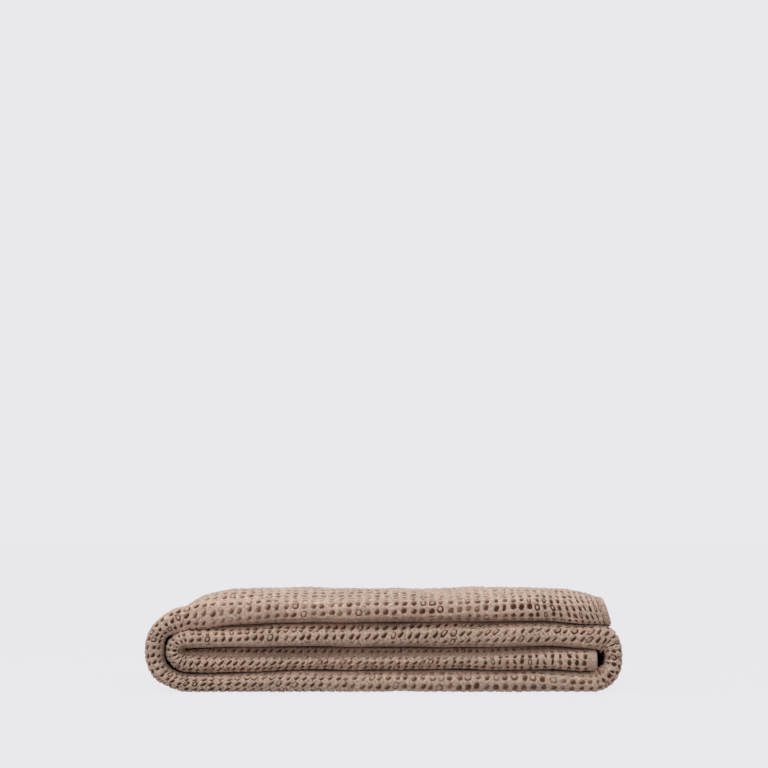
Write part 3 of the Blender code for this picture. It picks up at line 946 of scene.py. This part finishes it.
def keep_shading(obj):
    """Gives a patch the normals it had with its pad, so that no seam shows between patches."""
    mesh = obj.data
    kept = mesh.attributes["shading"]
    normals = np.empty(len(mesh.vertices) * 3, np.float32)
    kept.data.foreach_get("vector", normals)
    mesh.shade_smooth()
    mesh.normals_split_custom_set_from_vertices(normals.reshape(-1, 3))
    for name in CELL_FORMS + ("shading",):
        mesh.attributes.remove(mesh.attributes[name])


def make_patches(cloth):
    """All patches of waffle cells, finished and shaded as one cloth."""
    tree = waffle_tree()

    def column(along):
        return round(float(np.interp(along, LINE_ALONG, LINE_NUMBER)))

    patches = []
    for name, (start, end, rows, steps) in PATCHES.items():
        first = 0 if start is None else column(start)
        last = COLUMNS if end is None else column(end)
        patch = patch_mesh("waffle_" + name, first, last, rows, steps)
        finished(patch, tree, {"cloth": cloth})
        keep_shading(patch)
        patches.append(patch)
    return patches


# ---- the base cloth


# The lines of points across the strip: from where, to where, and how many
LINES_ACROSS = (
    (ACROSS[0], -0.022, 14),
    (-0.0215, 0.0265, 25),  # round the front fold
    (0.034, 0.080, 6),
    (0.105, BACK_FOLD[0] - 0.012, 11),
    (BACK_FOLD[0] - 0.009, BACK_FOLD[1] + 0.001, 14),  # round the back fold
    (BACK_FOLD[1] + 0.020, INNER_FRONT - 0.012, 13),
    (INNER_FRONT - 0.004, INNER_FRONT + 0.002, 5),  # round the inner front fold
    (INNER_FRONT + 0.020, ACROSS[-1], 13),
)


def rounded_places(parts):
    """All places in these parts, with closer ones at both ends for a round edge, and how far
    each is from the nearer end, as a share of the edge's rounding."""
    places = np.unique(np.concatenate(parts))
    near = EDGE_ROUND * (1 - np.cos(EDGE_TURNS))
    low, high = places[0], places[-1]
    inner = places[(places > low + EDGE_ROUND) & (places < high - EDGE_ROUND)]
    places = np.concatenate(
        [low + near, [low + EDGE_ROUND], inner, [high - EDGE_ROUND], (high - near)[::-1]]
    )
    depth = np.minimum(places - low, high - places) / EDGE_ROUND
    return places, depth.clip(0.0, 1.0)


def bed(along, across):
    """How far down the face of the base cloth lies, so that the cells have room on it."""
    hems = smooth(*(OUTER_HEM + BED_AT_HEM), along)
    hems *= smooth(*(INNER_HEM + BED_AT_HEM), STRIP_END - along)
    body = between(*BED_BODY, across) * smooth(*BED_SEEN, along)
    groups = (between(*BED_FRONT, across), body, between(*BED_BACK, across))
    return BED_DEPTH * hems * np.max(groups, axis=0)


def base_cloth(name, material):
    """The whole folded sheet as one closed mesh, with its hems at full thickness."""
    ends = np.reshape([0.0, *np.ravel(BENDS_ALONG), STRIP_END], (-1, 2))
    parts = [np.arange(*bend, BEND_POINT_STEP) for bend in BENDS_ALONG]
    parts += [np.linspace(*run, points) for run, points in zip(ends, RUN_POINTS)]
    parts += [OUTER_HEM + HEM_POINTS, STRIP_END - INNER_HEM - HEM_POINTS]
    along, thick_along = rounded_places(parts)
    across, thick_across = rounded_places([np.linspace(*part) for part in LINES_ACROSS])
    rows, columns = len(along), len(across)
    edge = np.minimum(thick_along[:, None], thick_across[None, :]).ravel()
    thin = CLOTH * (1 - np.sqrt(1 - (1 - edge) ** 2)) / 2
    along, across = (grid.ravel() for grid in np.meshgrid(along, across, indexing="ij"))
    face = on_cloth(along, across, thin + bed(along, across))
    reverse = on_cloth(along, across, CLOTH - thin)

    number = np.arange(rows * columns).reshape(rows, columns)
    below = number + rows * columns
    below[[0, -1], :] = number[[0, -1], :]
    below[:, [0, -1]] = number[:, [0, -1]]
    faces = grid_faces(rows, columns)
    turned = below.ravel()[faces[..., ::-1]]
    used, faces = np.unique(np.concatenate([faces, turned]), return_inverse=True)
    cells = np.column_stack([np.interp(along, LINE_ALONG, LINE_NUMBER), across / ROW_PITCH])
    spread = np.column_stack([along / STRIP_END, (across - across[0]) / np.ptp(across)])
    halves = [spread * UV_HALF, spread * UV_HALF + UV_UP]
    uv_maps = {"OFBake": np.concatenate(halves)[used], "cells": np.concatenate([cells] * 2)[used]}
    obj = mesh_of(name, np.concatenate([face, reverse])[used], faces.reshape(-1, 4), uv_maps)
    obj.data.materials.append(material)
    return obj


# ---- the materials


def linear(colour):
    """An sRGB hex colour as linear red, green, blue and alpha."""
    parts = [int(colour[i : i + 2], 16) / 255 for i in (1, 3, 5)]
    return [c / 12.92 if c <= 0.04045 else ((c + 0.055) / 1.055) ** 2.4 for c in parts] + [1.0]


def cloth_material(name, ridge, floor, heel):
    """Washed cotton yarn, woven in waffle cells: soft, with no gloss, a faint bloom of loose
    fibres at grazing angles, and painted shade that makes the hollows browner and darker."""
    material = bpy.data.materials.new(name)
    material.use_nodes = True
    tree = material.node_tree
    shader = tree.nodes["Principled BSDF"]
    shader.inputs["Roughness"].default_value = 0.92
    shader.inputs["Specular IOR Level"].default_value = 0.12
    shader.inputs["Sheen Weight"].default_value = 0.34
    shader.inputs["Sheen Roughness"].default_value = 0.40
    shader.inputs["Sheen Tint"].default_value = linear(BLOOM_COLOUR)

    add = adder(tree)
    place = add("ShaderNodeTexCoord", output=3)
    wash = add(NOISE, {"Vector": place, "Scale": 1 / WASH_MARK, "Detail": 2.0})
    yarn = add(NOISE, {"Vector": place, "Scale": 1 / YARN, "Detail": 3.0})
    # The hollow attribute sets painted shade: the floor's and then the heel's shade colour over
    # the ridge's, with an uneven edge
    uneven = add(MATH, [yarn, SHADE_EDGE_NOISE, -SHADE_EDGE_NOISE / 2], operation="MULTIPLY_ADD")
    hollow = add("ShaderNodeAttribute", output=2, attribute_name="hollow")
    hollow = add(MATH, [hollow, uneven], operation="ADD")
    colour = linear(ridge)
    for deeper, shades in ((floor, FLOOR_SHADE_SPAN), (heel, HEEL_SHADE_SPAN)):
        colours = {0: add(RANGE, [hollow, *shades], **SOFTLY), 6: colour, 7: linear(deeper)}
        colour = add("ShaderNodeMix", colours, output=2, data_type="RGBA")
    for texture, contrast in ((wash, WASH_CONTRAST), (yarn, YARN_CONTRAST)):
        shade = add(RANGE, [texture, *COLOUR_SPAN, 1 - contrast, 1 + contrast])
        colour = add(VECTOR, {0: colour, "Scale": shade}, operation="SCALE")
    tree.links.new(colour, shader.inputs["Base Color"])
    bump = add("ShaderNodeBump", {"Height": yarn, "Strength": 0.7, "Distance": YARN_LIFT})
    tree.links.new(bump, shader.inputs["Normal"])
    return material


# ---- floor, light, camera


def stage_floor():
    """A white table top that runs out of sight. It glows softly, as white paper does under
    studio light from all sides, so the blanket's shadow stays faint."""
    material = bpy.data.materials.new("white paper")
    material.use_nodes = True
    shader = material.node_tree.nodes["Principled BSDF"]
    shader.inputs["Base Color"].default_value = linear(PAPER)
    shader.inputs["Roughness"].default_value = 1.0
    shader.inputs["Specular IOR Level"].default_value = 0.0
    shader.inputs["Emission Color"].default_value = linear(BACKDROP)
    shader.inputs["Emission Strength"].default_value = PAPER_GLOW
    corners = np.array([(-1, -1, 0), (1, -1, 0), (1, 1, 0), (-1, 1, 0)])
    floor = mesh_of("floor", corners * FLOOR_SIZE / 2, np.array([[0, 1, 2, 3]]))
    floor.data.materials.append(material)
    floor.visible_diffuse = False  # the dome's lower half stands for what it throws back
    floor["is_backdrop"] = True


def studio_light():
    """A dome, bright overhead and dimmer all round, and one large soft box at the left. What
    the camera sees of the dome is the plain backdrop."""
    world = bpy.data.worlds.new("studio")
    world.use_nodes = True
    tree = world.node_tree
    seen = tree.nodes["Background"].outputs[0]
    seen.node.inputs["Color"].default_value = linear(BACKDROP)
    add = adder(tree)
    way = add("ShaderNodeTexCoord", output=0)
    _, _, height = add(SPLIT, [way]).node.outputs
    glow = add(RANGE, [height, 0.0, 1.0, DOME_ROUND, DOME_OVERHEAD])
    below = add(RANGE, [height, 0.0, DOME_LOWER_HALF, 0.0, DOME_BELOW - DOME_ROUND])
    glow = add(MATH, [glow, below], operation="ADD")
    colours = {0: height, 6: linear(BACKDROP), 7: linear(OVERHEAD)}
    tint = add("ShaderNodeMix", colours, output=2, data_type="RGBA")
    dome = add("ShaderNodeBackground", {"Color": tint, "Strength": glow})
    both = add("ShaderNodeMixShader", [add("ShaderNodeLightPath"), dome, seen])
    tree.links.new(both, tree.nodes["World Output"].inputs["Surface"])
    bpy.context.scene.world = world

    lamp = bpy.data.lights.new("large soft box", "AREA")
    lamp.shape = "RECTANGLE"
    lamp.size, lamp.size_y = LAMP_SIZE
    lamp.energy = LAMP_POWER
    lamp.color = linear(LAMP)[:3]
    soft_box = bpy.data.objects.new("large soft box", lamp)
    soft_box.location, soft_box.rotation_euler = LAMP_PLACE, LAMP_TURN
    bpy.context.scene.collection.objects.link(soft_box)


def camera():
    """The photo's view: from the front, low, and with a long lens."""
    lens = bpy.data.cameras.new("camera")
    lens.sensor_width = SENSOR
    lens.lens = FOCAL_SHARE * SENSOR
    lens.clip_end = 100.0
    stand = bpy.data.objects.new("camera", lens)
    stand.location = (0.0, FRONT_Y - CAMERA_BACK, CAMERA_HEIGHT)
    stand.rotation_euler = (math.pi / 2 + CAMERA_PITCH, 0.0, 0.0)
    bpy.context.scene.collection.objects.link(stand)
    bpy.context.scene.camera = stand
    bpy.context.scene.view_settings.view_transform = "Standard"


# ---- assembly

waffle = cloth_material("washed waffle cotton", RIDGE_COLOUR, FLOOR_SHADE_COLOUR, HEEL_SHADE_COLOUR)
plain = cloth_material("washed plain cotton", PLAIN_COLOUR, PLAIN_COLOUR, PLAIN_COLOUR)

blanket = base_cloth("base_cloth", plain)
patches = make_patches(waffle)
for piece in [blanket] + patches:
    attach(piece, "root")
    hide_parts("blanket")

stage_floor()
studio_light()
camera()

boxes = {"cad": CAD_BOX, "visual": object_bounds()}
{name: [list(corner) for corner in box] for name, box in boxes.items()}
